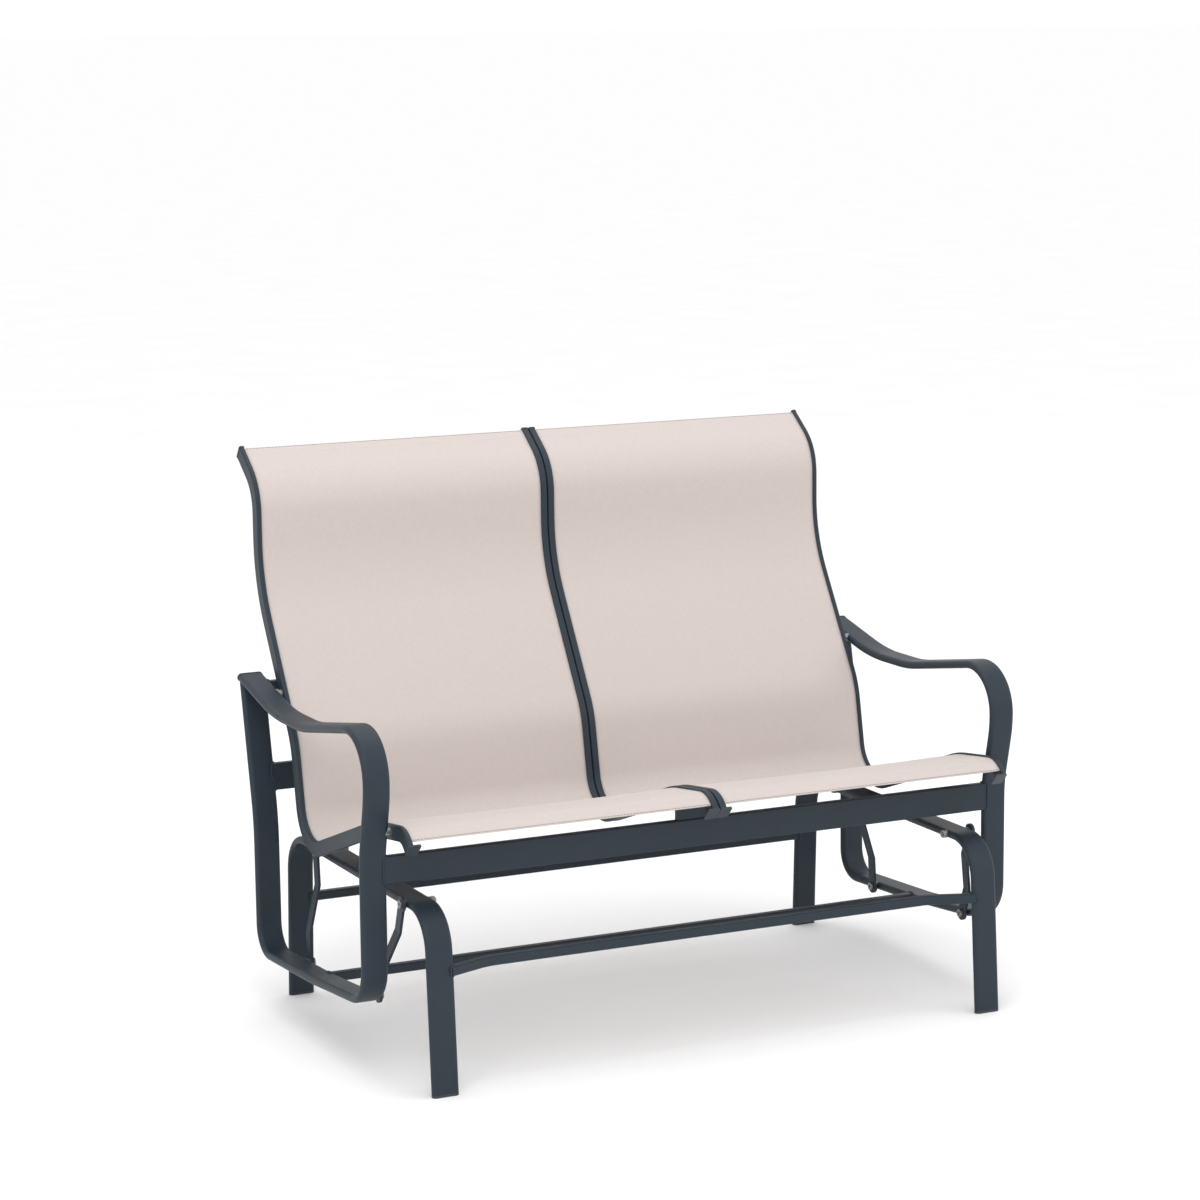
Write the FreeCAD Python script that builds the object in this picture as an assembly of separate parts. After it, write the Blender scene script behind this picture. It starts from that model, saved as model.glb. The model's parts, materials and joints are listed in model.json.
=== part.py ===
import FreeCAD, Part
import math
import os

V = FreeCAD.Vector

# ---------------------------------------------------------------- axes and origin
# Millimetres. +X is the sitter's left to right as seen from the front, +Y is rearwards, +Z is up.
# Pieces are drawn with Y = 0 near the front legs; main() then moves them all along Y, so that
# the finished origin is on the floor, in the middle of the object's width and depth.

# ---------------------------------------------------------------- driving sizes
OVERALL_WIDTH = 1280.0      # over the two arm loops
ARM_BAR_WIDTH = 48.0        # flat-oval bar of the arm loops, across X
ARM_BAR_THICK = 15.0        # the same bar, in the plane of its bends
BASE_BAR_WIDTH = 48.8       # flat-oval bar of the base end frames, across X
BASE_BAR_THICK = 14.0
FRAME_GAP = 31.1            # from the inner side of an arm loop to the outer side of a base frame

BASE_TOP_Z = 313.0          # centreline of the base's top rails
FRONT_FOOT_Y = -63.0        # bar centre at the floor
FRONT_BEND_Y = -41.0        # corner of the front leg and the top rail
REAR_FOOT_Y = 626.0
REAR_BEND_Y = 612.0
BASE_BEND_R = 70.0

ARM_REAR_Y = 638.0          # open rear end of the armrest
ARM_REAR_Z = 609.0
ARM_DIP = [(470.0, 571.0, 450.0), (330.0, 572.0, 350.0)]   # y, z, bend radius of the swoop
ARM_CREST = (22.0, 627.0, 80.0)                            # corner and radius of the hand grip
POST_BENDS = [(24.0, 505.0, 180.0), (49.0, 398.0, 220.0)]  # joggle of the front post
LOOP_FRONT_CORNER = (49.0, 145.0, 65.0)
LOOP_BOTTOM_BEND = (300.0, 122.0, 700.0)
LOOP_REAR_CORNER = (572.0, 108.0, 50.0)
REAR_POST_BEND = (574.0, 352.0, 400.0)
REAR_POST_TOP = (628.0, 603.0)

OUTER_RAIL_WIDTH = 9.2      # sling rails, across X
CENTRE_RAIL_WIDTH = 13.2
RAIL_DEPTH = 28.0           # sling rails, front face to back face
RAIL_TO_ARM = 5.8           # side gap between an outer sling rail and its arm loop
RAIL_PAIR_GAP = 1.5         # between the two centre rails
# front face of the sling rails from the rolled top to the front curl: y, z, bend radius
RAIL_PATH = [
    (747.0, 1019.5, 0.0),
    (661.5, 957.0, 100.0),
    (661.0, 783.0, 260.0),
    (492.0, 512.0, 170.0),
    (456.0, 326.5, 60.0),
    (117.0, 446.0, 200.0),
    (-17.0, 463.5, 55.0),
    (-44.0, 437.0, 0.0),
]
GROOVE_BELOW_FACE = 3.4     # centre of the spline groove under the rail's front face
GROOVE_R = 2.2
GROOVE_MOUTH = 2.4
GROOVE_INSET = 4.2          # groove centre in from the rail's side
SPLINE_R = 1.2
SLING_THICK = 1.6
SLING_SIDE_CLEAR = 0.5      # sling edge to the spline cord
SLING_SETBACK = 9.0         # the sling and its cords stop this far before the rails' front ends
CAP_THICK = 3.0
CAP_PROUD = 0.6             # caps stand this far outside the bar they close
FRONT_CAP_WIDTH = 23.0      # the wider caps on the rails' front ends

CROSS_DEPTH = 15.0          # front and rear cross rails, along Y
CROSS_HEIGHT = 50.5
CROSS_EDGE_R = 3.0
COPE = 7.0                  # how far a cross member's coped end wraps the rounded bar
FRONT_RAIL_Z = 349.5        # underside
REAR_RAIL_Z = 404.0
FRONT_RAIL_Y = 48.5         # centre
REAR_RAIL_Y = 591.0
BAR = 17.0                  # square stretchers and cross bars
BAR_EDGE_R = 4.0
UPPER_BAR_Y = 603.0
UPPER_BAR_Z = 598.0
LOWER_BAR_Y = 310.0
LOWER_BAR_Z = 121.0
FRONT_STRETCHER_Z = 213.0
STRETCHER_SETBACK = 28.0    # the front stretcher's middle runs this far behind its ends
STRETCHER_BEND_X = 75.0     # length of each bent end along X
STRETCHER_BEND_R = 110.0
REAR_STRETCHER_Z = 187.0

# glider links: pivots in the Y-Z plane
FRONT_TOP_PIVOT = (45.0, BASE_TOP_Z)
FRONT_LOW_PIVOT = (106.0, 139.8)
REAR_TOP_PIVOT = (454.0, BASE_TOP_Z)
REAR_LOW_PIVOT = (437.0, 114.9)
LINK_THICK = 5.0
LINK_WIDTH = 20.0
EYE_R = 13.5
TOP_WASHER = 1.8            # between the base frame and a link's upper eye
LOW_WASHER = 2.6            # between a link's lower eye and the arm loop
BOLT_R = 4.0
BOLT_HEAD_R = 7.5
BOLT_HEAD = 2.6
BOLT_INTO_LOOP = 24.0       # threaded length inside the loop's bottom rail
NUT_R = 7.0
NUT_THICK = 7.0
BUSH_WALL = 2.4
OPEN_BUSH_WALL = 1.6        # rubber sleeves on the rear lower bolts
RUN_CLEAR = 0.06            # radial running fit of a bush on its bolt
OPEN_CLEAR = 2.6            # radial room in the rear lower eyes, where the linkage is opened
SIDE_PLAY = 0.15            # end float of bushes, washers and heads
FIT_CLEAR = 0.05

GLIDE_THICK = 4.5
PLUG_LENGTH = 18.0
TUBE_WALL = 2.2
PLUG_CLEAR = 0.25
SCREW_R = 2.6
SCREW_HEAD_R = 4.6
SCREW_HEAD = 2.2
SCREW_INTO_LOOP = 20.0
SPACER_R = 7.5
BLOCK_HALF_WIDTH = 40.0     # block under the centre sling rails
SIDE_SCREWS = [(38.0, 443.0), (556.0, 590.4)]   # outer rail to front post and to armrest

# ---------------------------------------------------------------- places that follow
LOOP_INNER = OVERALL_WIDTH / 2 - ARM_BAR_WIDTH
LOOP_X = OVERALL_WIDTH / 2 - ARM_BAR_WIDTH / 2
BASE_OUTER = LOOP_INNER - FRAME_GAP
BASE_X = BASE_OUTER - BASE_BAR_WIDTH / 2
BASE_INNER = BASE_OUTER - BASE_BAR_WIDTH
OUTER_RAIL_X = LOOP_INNER - RAIL_TO_ARM - OUTER_RAIL_WIDTH / 2
CENTRE_RAIL_X = RAIL_PAIR_GAP / 2 + CENTRE_RAIL_WIDTH / 2
LINK_TOP_X = BASE_OUTER + TOP_WASHER + LINK_THICK / 2
LINK_LOW_X = LOOP_INNER - LOW_WASHER - LINK_THICK / 2
BUSH_R = BOLT_R + RUN_CLEAR + BUSH_WALL
OPEN_BUSH_R = BOLT_R + FIT_CLEAR + OPEN_BUSH_WALL
OPEN_BORE_R = OPEN_BUSH_R + OPEN_CLEAR
SIDES = (("left", -1), ("right", 1))


# ---------------------------------------------------------------- 2-D helpers
def stadium(width, thick):
    """Flat-oval section: a rectangle with half-round ends; width along X, thickness along Y."""
    h = width / 2
    return rounded_face(-h, -thick / 2, h, thick / 2, thick / 2)


def rounded_face(x0, y0, x1, y1, r):
    """Rectangle with rounded corners as a face in the XY plane."""
    k = r * math.sqrt(0.5)
    pts = []
    for cx, cy, sx, sy in ((x1 - r, y0 + r, 1, -1), (x1 - r, y1 - r, 1, 1),
                           (x0 + r, y1 - r, -1, 1), (x0 + r, y0 + r, -1, -1)):
        pts.append((cx, cy, sx, sy))
    edges = []
    ends = []
    for i, (cx, cy, sx, sy) in enumerate(pts):
        a = V(cx, cy + sy * r, 0)
        b = V(cx + sx * r, cy, 0)
        if i % 2 == 1:
            a, b = b, a
        mid = V(cx + sx * k, cy + sy * k, 0)
        edges.append(Part.Arc(a, mid, b).toShape())
        ends.append((a, b))
    for i in range(4):
        p = ends[i][1]
        q = ends[(i + 1) % 4][0]
        if p.distanceToPoint(q) > 1e-6:
            edges.append(Part.makeLine(p, q))
    return Part.Face(Part.Wire(Part.__sortEdges__(edges)))


def leg_points(path):
    """Turn corners with radii into a list of straight and arc pieces.

    A straight piece is ("line", p, q); an arc is ("arc", start, centre, turn in degrees)."""
    pts = [V(0, p[0], p[1]) for p in path]
    out = []
    start = pts[0]
    for i in range(1, len(pts) - 1):
        r = path[i][2]
        d0 = (pts[i] - pts[i - 1]).normalize()
        d1 = (pts[i + 1] - pts[i]).normalize()
        cross = d0.y * d1.z - d0.z * d1.y
        turn = math.atan2(cross, d0.dot(d1))
        cut = abs(r * math.tan(turn / 2))
        a = pts[i] - d0 * cut
        side = 1.0 if turn > 0 else -1.0
        centre = a + V(0, -d0.z, d0.y) * (side * r)
        out.append(("line", start, a))
        out.append(("arc", a, centre, math.degrees(turn), d0))
        start = pts[i] + d1 * cut
    out.append(("line", start, pts[-1]))
    return out


def on_section(face, at, along):
    """Place a section: its X stays X, its Y points to the outside of the path."""
    n = V(0, along.z, -along.y)
    m = FreeCAD.Matrix(1, 0, 0, at.x,
                       0, n.y, along.y, at.y,
                       0, n.z, along.z, at.z,
                       0, 0, 0, 1)
    out = face.copy()
    out.transformShape(m)
    return out


def bar_along(path, face, x=0.0):
    """Carry a section along straight runs and tangent arcs in a plane X = constant.

    Only the outer faces are made, then sewn, so that no end walls stay inside the bar."""
    rim = face.OuterWire
    faces = []
    pieces = [p for p in leg_points(path) if p[0] == "arc" or (p[2] - p[1]).Length > 1e-4]
    for piece in pieces:
        if piece[0] == "line":
            run = piece[2] - piece[1]
            placed = on_section(rim, piece[1], V(run).normalize())
            faces += placed.extrude(run).Faces
        else:
            placed = on_section(rim, piece[1], piece[4])
            faces += placed.revolve(piece[2], V(1, 0, 0), piece[3]).Faces
    first, last = pieces[0], pieces[-1]
    faces.append(on_section(face, first[1], (first[2] - first[1]).normalize()))
    end_run = (last[2] - last[1]).normalize()
    faces.append(on_section(face, last[2], end_run))
    skin = Part.makeCompound(faces)
    skin.sewShape()
    solid = Part.Solid(skin.Shells[0] if skin.Shells else Part.Shell(skin.Faces))
    if solid.Volume < 0:
        solid.reverse()
    if x:
        solid.translate(V(x, 0, 0))
    return solid


def one_solid(shape):
    """Return the only solid of a boolean result."""
    if len(shape.Solids) == 1:
        return shape.Solids[0]
    return max(shape.Solids, key=lambda s: s.Volume)


def box(x0, y0, z0, x1, y1, z1):
    return Part.makeBox(x1 - x0, y1 - y0, z1 - z0, V(x0, y0, z0))


def rod(r, x0, x1, y, z):
    """Cylinder along X between two X values."""
    lo, hi = min(x0, x1), max(x0, x1)
    return Part.makeCylinder(r, hi - lo, V(lo, y, z), V(1, 0, 0))


def tube(r_out, r_in, x0, x1, y, z):
    return rod(r_out, x0, x1, y, z).cut(rod(r_in, x0 - 1, x1 + 1, y, z) if x0 < x1
                                        else rod(r_in, x1 - 1, x0 + 1, y, z))


def hexagon(r, x0, x1, y, z):
    """Hexagonal nut or head along X; r is half its width across flats."""
    lo, hi = min(x0, x1), max(x0, x1)
    reach = r / math.cos(math.pi / 6)
    pts = [V(lo, y + reach * math.cos(a), z + reach * math.sin(a))
           for a in [math.pi / 3 * k for k in range(7)]]
    return Part.Face(Part.makePolygon(pts)).extrude(V(hi - lo, 0, 0))


def mirrored(shape, side):
    """Shapes are made for the right-hand side (+X) and mirrored for the left."""
    if side > 0:
        return shape
    return shape.mirror(V(0, 0, 0), V(1, 0, 0))


def compound(shapes):
    return Part.makeCompound(shapes)


# ---------------------------------------------------------------- paths
def base_path(foot_z=0.0):
    """Base end frame from the rear foot up, forwards and down to the front foot."""
    rear = (REAR_BEND_Y - REAR_FOOT_Y) / BASE_TOP_Z
    front = (FRONT_BEND_Y - FRONT_FOOT_Y) / BASE_TOP_Z
    return [
        (REAR_FOOT_Y + rear * foot_z, foot_z, 0),
        (REAR_BEND_Y, BASE_TOP_Z, BASE_BEND_R),
        (FRONT_BEND_Y, BASE_TOP_Z, BASE_BEND_R),
        (FRONT_FOOT_Y + front * foot_z, foot_z, 0),
    ]


def loop_path():
    """Arm loop: armrest, front post, bottom rail and rear post in one bent bar."""
    return ([(ARM_REAR_Y, ARM_REAR_Z, 0)] + ARM_DIP + [ARM_CREST] + POST_BENDS
            + [LOOP_FRONT_CORNER, LOOP_BOTTOM_BEND, LOOP_REAR_CORNER, REAR_POST_BEND]
            + [(REAR_POST_TOP[0], REAR_POST_TOP[1], 0)])


def leg_y(foot_y, bend_y, z):
    """Y of a base leg's centre at a height."""
    return foot_y + (bend_y - foot_y) * z / BASE_TOP_Z


# ---------------------------------------------------------------- base (stands on the floor)
def base_bar(x):
    """Solid outer shape of a base end frame, run on below the floor."""
    return bar_along(base_path(-40.0), stadium(BASE_BAR_WIDTH, BASE_BAR_THICK), x)


def base_end_frame(bar):
    """Inverted U with sockets for the foot glides and cross holes for the pivot bolts."""
    body = bar.cut(box(0, -400, -200, 1000, 1000, GLIDE_THICK))
    body = body.cut(foot_plug(TUBE_WALL, PLUG_LENGTH + 1.0))
    for y, z in (FRONT_TOP_PIVOT, REAR_TOP_PIVOT):
        body = body.cut(rod(BOLT_R + FIT_CLEAR, BASE_INNER - 5, BASE_OUTER + 5, y, z))
    return one_solid(body)


def foot_plug(wall, length):
    """The two leg ends' inner shape between the glide and a depth, as one compound."""
    inner = bar_along(base_path(-40.0),
                      stadium(BASE_BAR_WIDTH - 2 * wall, BASE_BAR_THICK - 2 * wall), BASE_X)
    return inner.common(box(0, -400, GLIDE_THICK, 1000, 1000, GLIDE_THICK + length))


def foot_glide(front, bar):
    """Plastic glide: a sole in the bar's outline with a plug pushed up into the leg."""
    lo, hi = (-400, 250) if front else (250, 1000)
    sole = bar.common(box(0, lo, 0, 1000, hi, GLIDE_THICK))
    plug = foot_plug(TUBE_WALL + PLUG_CLEAR, PLUG_LENGTH).common(box(0, lo, -1, 1000, hi, 200))
    glide = sole.fuse(plug).removeSplitter()
    return one_solid(glide)


def front_stretcher(frames):
    """Bar between the front legs; its middle is set back and its ends bend forward."""
    end_y = leg_y(FRONT_FOOT_Y, FRONT_BEND_Y, FRONT_STRETCHER_Z)
    mid_y = end_y + STRETCHER_SETBACK
    reach = BASE_INNER + COPE
    bend = BASE_INNER - STRETCHER_BEND_X
    slope = STRETCHER_SETBACK / STRETCHER_BEND_X
    out_y = mid_y - slope * (reach - bend)
    flat = [(-reach, out_y, 0), (-bend, mid_y, STRETCHER_BEND_R),
            (bend, mid_y, STRETCHER_BEND_R), (reach, out_y, 0)]
    face = rounded_face(-BAR / 2, -BAR / 2, BAR / 2, BAR / 2, BAR_EDGE_R)
    bar = bar_along(flat, face)
    turn = FreeCAD.Matrix(0, 1, 0, 0,
                          0, 0, 1, 0,
                          1, 0, 0, FRONT_STRETCHER_Z,
                          0, 0, 0, 1)
    bar.transformShape(turn)
    return one_solid(bar.cut(frames))


def rear_stretcher(frames):
    y = leg_y(REAR_FOOT_Y, REAR_BEND_Y, REAR_STRETCHER_Z)
    return one_solid(straight_bar(y, REAR_STRETCHER_Z, BAR, BAR, BAR_EDGE_R,
                                  BASE_INNER + COPE).cut(frames))


def straight_bar(y, z, depth, height, edge_r, reach):
    """Bar along X centred on y and z."""
    face = rounded_face(-height / 2, -depth / 2, height / 2, depth / 2, edge_r)
    m = FreeCAD.Matrix(0, 0, 1, -reach,
                       0, 1, 0, y,
                       1, 0, 0, z,
                       0, 0, 0, 1)
    face = face.copy()
    face.transformShape(m)
    return face.extrude(V(2 * reach, 0, 0))


def top_bolt(pivot):
    """Pivot bolt through a base top rail: low head outside the link, shank out to the nut."""
    y, z = pivot
    head_in = BASE_OUTER + TOP_WASHER + LINK_THICK + SIDE_PLAY
    head = rod(BOLT_HEAD_R, head_in, head_in + BOLT_HEAD, y, z)
    socket = hexagon(2.5, head_in + 1.0, head_in + BOLT_HEAD + 1, y, z)
    shank = rod(BOLT_R, BASE_INNER - NUT_THICK - 2.0, head_in, y, z)
    return one_solid(head.fuse(shank).removeSplitter().cut(socket))


def top_nut(pivot, bar):
    """Lock nut on the inner side of a base top rail."""
    y, z = pivot
    nut = hexagon(NUT_R - 0.8, BASE_INNER - NUT_THICK, BASE_INNER - 0.4, y, z)
    skirt = rod(NUT_R, BASE_INNER - 1.6, BASE_INNER + 4.0, y, z)
    body = nut.fuse(skirt).cut(bar)
    return one_solid(body.cut(rod(BOLT_R + FIT_CLEAR, BASE_INNER - 30, BASE_INNER + 30, y, z)))


def top_washer(pivot, bar):
    """Spacer washer, seated on the base bar's rounded outer side."""
    y, z = pivot
    ring = tube(BOLT_HEAD_R, BOLT_R + FIT_CLEAR, BASE_OUTER - 4.0,
                BASE_OUTER + TOP_WASHER - SIDE_PLAY, y, z)
    return one_solid(ring.cut(bar))


# ---------------------------------------------------------------- links
def link_bar(top, low, low_bore):
    """Flat bar hung from the base: upper eye beside the base, lower eye beside the arm loop.

    It steps outwards between its eyes, so that each eye lies flat against its washer."""
    ty, tz = top
    ly, lz = low
    length = math.hypot(ly - ty, lz - tz)
    half = LINK_THICK / 2
    x0 = LINK_TOP_X
    x1 = LINK_LOW_X
    s0 = -0.30 * length
    s1 = -0.72 * length
    outline = [(x0 - half, EYE_R), (x0 + half, EYE_R), (x0 + half, s0), (x1 + half, s1),
               (x1 + half, -length - EYE_R), (x1 - half, -length - EYE_R),
               (x1 - half, s1), (x0 - half, s0)]
    pts = [V(x, -EYE_R, s) for x, s in outline]
    strip = Part.Face(Part.makePolygon(pts + [pts[0]])).extrude(V(0, 2 * EYE_R, 0))
    side = Part.makeBox(60, LINK_WIDTH, length, V(x0 - 25, -LINK_WIDTH / 2, -length))
    plan = side.fuse([rod(EYE_R, x0 - 25, x0 + 35, 0, 0), rod(EYE_R, x0 - 25, x0 + 35, 0, -length)])
    bar = strip.common(plan)
    bar = bar.cut(rod(BUSH_R, x0 - 25, x0 + 35, 0, 0))
    bar = bar.cut(rod(low_bore, x0 - 25, x0 + 35, 0, -length))
    lean = math.degrees(math.atan2(ly - ty, tz - lz))
    bar = one_solid(bar)
    bar.rotate(V(0, 0, 0), V(1, 0, 0), lean)
    bar.translate(V(0, ty, tz))
    return bar


def link_bush(x_mid, pivot):
    """Nylon bush pressed into an eye, running on its bolt."""
    y, z = pivot
    half = LINK_THICK / 2
    return tube(BUSH_R, BOLT_R + RUN_CLEAR, x_mid - half, x_mid + half, y, z)


# ---------------------------------------------------------------- seat frame
def loop_bar():
    """Solid outer shape of the right-hand arm loop, its rear post run into the armrest."""
    path = loop_path()
    face = stadium(ARM_BAR_WIDTH, ARM_BAR_THICK)
    bend, top = V(0, *path[-2][:2]), V(0, *path[-1][:2])
    up = (top - bend).normalize()
    stop = top - up * (2.0 * ARM_BAR_THICK)
    body = bar_along(path[:-1] + [(stop.y, stop.z, 0)], face, LOOP_X)
    overlap = 5.0
    post = on_section(face, stop - up * overlap, up).extrude(up * (2.0 * ARM_BAR_THICK + overlap))
    post.translate(V(LOOP_X, 0, 0))
    return one_solid(body.fuse(post).removeSplitter())


def arm_loop(bar):
    """Arm loop with the socket of its end cap and blind holes for bolts and screws."""
    body = bar.cut(arm_plug(TUBE_WALL, PLUG_LENGTH + 1.0))
    for y, z in (FRONT_LOW_PIVOT, REAR_LOW_PIVOT):
        body = body.cut(rod(BOLT_R + FIT_CLEAR, LOOP_INNER - 5,
                            LOOP_INNER + BOLT_INTO_LOOP + 1.0, y, z))
    for y, z in SIDE_SCREWS:
        body = body.cut(rod(SCREW_R + FIT_CLEAR, LOOP_INNER - 5,
                            LOOP_INNER + SCREW_INTO_LOOP + 1.0, y, z))
    return one_solid(body)


def arm_plug(wall, length):
    """Inner shape of the armrest's open rear end."""
    first = loop_path()[:2]
    run = V(0, first[1][0] - first[0][0], first[1][1] - first[0][1]).normalize()
    face = stadium(ARM_BAR_WIDTH - 2 * wall, ARM_BAR_THICK - 2 * wall)
    start = V(LOOP_X, first[0][0], first[0][1])
    return on_section(face, start, run).extrude(run * length)


def arm_cap():
    """Plastic cap on the rear end of an armrest."""
    first = loop_path()[:2]
    run = V(0, first[1][0] - first[0][0], first[1][1] - first[0][1]).normalize()
    face = stadium(ARM_BAR_WIDTH + 2 * CAP_PROUD, ARM_BAR_THICK + 2 * CAP_PROUD)
    start = V(LOOP_X, first[0][0], first[0][1])
    plate = on_section(face, start - run * CAP_THICK, run).extrude(run * CAP_THICK)
    return one_solid(plate.fuse(arm_plug(TUBE_WALL + PLUG_CLEAR, PLUG_LENGTH)).removeSplitter())


def cross_rail(y, z0, loops):
    """Tall cross rail welded between the posts of the two arm loops."""
    bar = straight_bar(y, z0 + CROSS_HEIGHT / 2, CROSS_DEPTH, CROSS_HEIGHT, CROSS_EDGE_R,
                       LOOP_INNER + COPE)
    return one_solid(bar.cut(loops))


def cross_bar(y, z, loops):
    bar = straight_bar(y, z, BAR, BAR, BAR_EDGE_R, LOOP_INNER + COPE)
    return one_solid(bar.cut(loops))


def rail_width(x):
    """Width of the sling rail at a place across the seat."""
    return CENTRE_RAIL_WIDTH if abs(x) < OVERALL_WIDTH / 4 else OUTER_RAIL_WIDTH


def rail_section(width, groove_side):
    """Sling rail section; its front face is at section Y = 0 and the groove opens to one side."""
    half = width / 2
    face = rounded_face(-half, -RAIL_DEPTH, half, 0, 3.2)
    cx = groove_side * (half - GROOVE_INSET)
    y = -GROOVE_BELOW_FACE
    hole = Part.Face(Part.Wire(Part.makeCircle(GROOVE_R, V(cx, y, 0))))
    mouth = Part.Face(Part.makePolygon([
        V(cx, y - GROOVE_MOUTH / 2, 0), V(groove_side * (half + 2), y - GROOVE_MOUTH / 2, 0),
        V(groove_side * (half + 2), y + GROOVE_MOUTH / 2, 0), V(cx, y + GROOVE_MOUTH / 2, 0),
        V(cx, y - GROOVE_MOUTH / 2, 0)]))
    cut = face.cut(hole).cut(mouth)
    return max(cut.Faces, key=lambda f: f.Area)


def sling_rail(x, groove_side):
    return bar_along(RAIL_PATH, rail_section(rail_width(x), groove_side), x)


def spline_x(x, groove_side):
    return x + groove_side * (rail_width(x) / 2 - GROOVE_INSET)


def sling_path():
    """The rails' path, cut short of their front ends."""
    (y0, z0, _), (y1, z1, _) = RAIL_PATH[-2:]
    back = SLING_SETBACK / math.hypot(y1 - y0, z1 - z0)
    return RAIL_PATH[:-1] + [(y1 + (y0 - y1) * back, z1 + (z0 - z1) * back, 0.0)]


def spline_cord(x, groove_side):
    """Round cord that locks the sling's edge into a rail."""
    face = Part.Face(Part.Wire(Part.makeCircle(
        SPLINE_R, V(spline_x(x, groove_side), -GROOVE_BELOW_FACE, 0))))
    return bar_along(sling_path(), face)


def sling():
    """Right-hand sling panel, stretched between the grooves of its two rails."""
    x0 = spline_x(CENTRE_RAIL_X, 1) + SPLINE_R + SLING_SIDE_CLEAR
    x1 = spline_x(OUTER_RAIL_X, -1) - SPLINE_R - SLING_SIDE_CLEAR
    y0 = -GROOVE_BELOW_FACE - SLING_THICK / 2
    face = Part.Face(Part.makePolygon([
        V(x0, y0, 0), V(x1, y0, 0), V(x1, y0 + SLING_THICK, 0), V(x0, y0 + SLING_THICK, 0),
        V(x0, y0, 0)]))
    return bar_along(sling_path(), face)


def rail_end_cap(x, top):
    """Cap over one end of a rail; the front ones are wider than the rail."""
    width = rail_width(x) + 2 * CAP_PROUD
    if top:
        p, q = RAIL_PATH[0], RAIL_PATH[1]
        shift = 0.0
    else:
        p, q = RAIL_PATH[-1], RAIL_PATH[-2]
        shift = (FRONT_CAP_WIDTH - width) / 2
        width = FRONT_CAP_WIDTH
    into = V(0, q[0] - p[0], q[1] - p[1]).normalize()
    along = into if top else into * -1.0
    toward_sling = 1 if x < OVERALL_WIDTH / 4 else -1
    face = rounded_face(-width / 2, -RAIL_DEPTH - CAP_PROUD, width / 2, CAP_PROUD, 3.6)
    start = V(x + toward_sling * shift, p[0], p[1])
    if top:
        start = start - into * CAP_THICK
    return on_section(face, start, along).extrude(along * CAP_THICK)


def rail_under_z(y):
    """Height of the rails' underside over the front cross rail."""
    a, b = RAIL_PATH[5], RAIL_PATH[6]
    slope = (b[1] - a[1]) / (a[0] - b[0])
    front = a[1] + slope * (a[0] - y)
    return front - RAIL_DEPTH / math.cos(math.atan(slope))


def front_block():
    """Spacer block between the front cross rail and the pair of centre sling rails."""
    half = BLOCK_HALF_WIDTH
    y_lo = FRONT_RAIL_Y - CROSS_DEPTH / 2 + CROSS_EDGE_R
    y_hi = FRONT_RAIL_Y + CROSS_DEPTH / 2 - CROSS_EDGE_R
    top = rail_under_z(FRONT_RAIL_Y)
    block = box(-half, y_lo, FRONT_RAIL_Z + CROSS_HEIGHT, half, y_hi, top + 12)
    return one_solid(block.cut(rail_room(half)))


def rail_room(half):
    """Everything taken up by the sling rails and the space in front of them."""
    return bar_along(RAIL_PATH, rounded_face(-half - 5, -RAIL_DEPTH, half + 5, 60, 0.5))


def back_spacer(room):
    """Standoff between the centre rails' back faces and the upper rear bar."""
    y1 = UPPER_BAR_Y - BAR / 2
    half = CENTRE_RAIL_X + CENTRE_RAIL_WIDTH / 2 - 1.0
    block = box(-half, y1 - 60, UPPER_BAR_Z - BAR / 2 + 1, half, y1, UPPER_BAR_Z + BAR / 2 - 1)
    rest = block.cut(room)
    return max(rest.Solids, key=lambda s: s.BoundBox.YMax)


def back_screw(x):
    """Screw head on the upper rear bar, behind a centre rail."""
    y1 = UPPER_BAR_Y + BAR / 2
    return Part.makeCylinder(SCREW_HEAD_R, SCREW_HEAD, V(x, y1, UPPER_BAR_Z), V(0, 1, 0))


def outer_rail():
    """Outer sling rail with through holes for its side screws."""
    rail = sling_rail(OUTER_RAIL_X, -1)
    for y, z in SIDE_SCREWS:
        rail = rail.cut(rod(SCREW_R + FIT_CLEAR, LOOP_INNER - RAIL_TO_ARM - OUTER_RAIL_WIDTH - 5,
                            LOOP_INNER + 5, y, z))
    return one_solid(rail)


def side_screw(place):
    """Screw through an outer rail and its spacer into the arm loop."""
    y, z = place
    seat = LOOP_INNER - RAIL_TO_ARM - OUTER_RAIL_WIDTH
    head = rod(SCREW_HEAD_R, seat - SCREW_HEAD, seat, y, z)
    shank = rod(SCREW_R, seat, LOOP_INNER + SCREW_INTO_LOOP, y, z)
    return one_solid(head.fuse(shank).removeSplitter())


def side_spacer(place, bar):
    """Spacer washer between an outer rail and the rounded inner side of the arm loop."""
    y, z = place
    ring = tube(SPACER_R, SCREW_R + FIT_CLEAR, LOOP_INNER - RAIL_TO_ARM, LOOP_INNER + 6.0, y, z)
    rest = ring.cut(bar)
    return min(rest.Solids, key=lambda s: s.BoundBox.XMin)


def low_bolt(pivot, x_head):
    """Lower pivot bolt: head on the inner side of the link, thread in the loop's bottom rail."""
    y, z = pivot
    head = rod(BOLT_HEAD_R, x_head - BOLT_HEAD - 2.0, x_head, y, z)
    socket = hexagon(2.5, x_head - BOLT_HEAD - 3.0, x_head - BOLT_HEAD, y, z)
    shank = rod(BOLT_R, x_head, LOOP_INNER + BOLT_INTO_LOOP, y, z)
    return one_solid(head.fuse(shank).removeSplitter().cut(socket))


def low_washer(pivot, bar):
    """Spacer washer seated on the loop's rounded inner side."""
    y, z = pivot
    ring = tube(BOLT_HEAD_R, BOLT_R + FIT_CLEAR, LOOP_INNER - LOW_WASHER + SIDE_PLAY,
                LOOP_INNER + 5.0, y, z)
    rest = ring.cut(bar)
    return min(rest.Solids, key=lambda s: s.BoundBox.XMin)


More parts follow.
